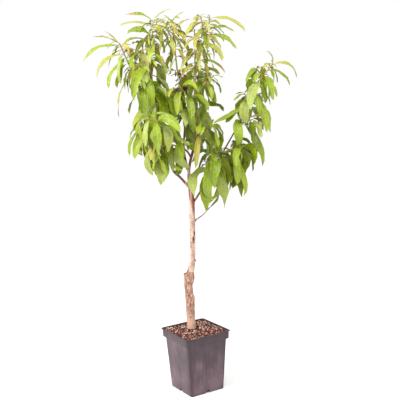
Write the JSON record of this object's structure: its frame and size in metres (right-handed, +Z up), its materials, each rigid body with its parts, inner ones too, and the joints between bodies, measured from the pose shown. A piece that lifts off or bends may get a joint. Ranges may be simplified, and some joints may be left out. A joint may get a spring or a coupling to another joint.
{
  "type": "potted peach tree",
  "caption": "Young grafted peach tree with a slim trunk, spreading boughs and long hanging leaves, in a square tapered plastic nursery pot of coarse bark mix.",
  "frame": {"origin": "centre of the pot's flat underside", "axes": "+Z up along the trunk, -Y towards the front of the plant as pictured, +X to its right"},
  "size_m": [0.5315, 0.3374, 0.9852],
  "materials": {
    "black_plastic": "thin moulded plastic, dark purple grey, satin",
    "bark_and_pumice": "loose bark chips and pumice",
    "trunk_bark": "bark, smooth above the graft and fissured below",
    "bough_bark": "smooth young bark",
    "dead_wood": "dry dead wood",
    "leaf_green": "glossy leaf above, pale and dull below"
  },
  "bodies": {
    "root": {"pot": "black_plastic", "potting_mix": "bark_and_pumice", "trunk": "trunk_bark", "left_bough": "bough_bark", "right_bough": "bough_bark", "centre_bough": "bough_bark", "front_bough": "bough_bark", "back_bough": "bough_bark", "upper_left_bough": "bough_bark", "bare_twig": "dead_wood", "leaves_far_left": "leaf_green", "leaves_upper_left": "leaf_green", "leaves_left_crown": "leaf_green", "leaves_left_side": "leaf_green", "leaves_lower_left": "leaf_green", "leaves_top_centre": "leaf_green", "leaves_centre_left": "leaf_green", "leaves_centre": "leaf_green", "leaves_front_top": "leaf_green", "leaves_front_low": "leaf_green", "leaves_inner_left": "leaf_green", "leaves_upper_right": "leaf_green", "leaves_top_middle": "leaf_green", "leaves_mid_right": "leaf_green", "leaves_right_column": "leaf_green", "leaves_lower_centre": "leaf_green", "leaves_lower_right": "leaf_green", "leaves_right_edge": "leaf_green", "leaves_far_right_low": "leaf_green", "leaves_far_right_top": "leaf_green", "leaves_back_top": "leaf_green", "leaves_back_low": "leaf_green", "leaves_back_left": "leaf_green", "leaves_back_right": "leaf_green"}
  },
  "joints": []
}
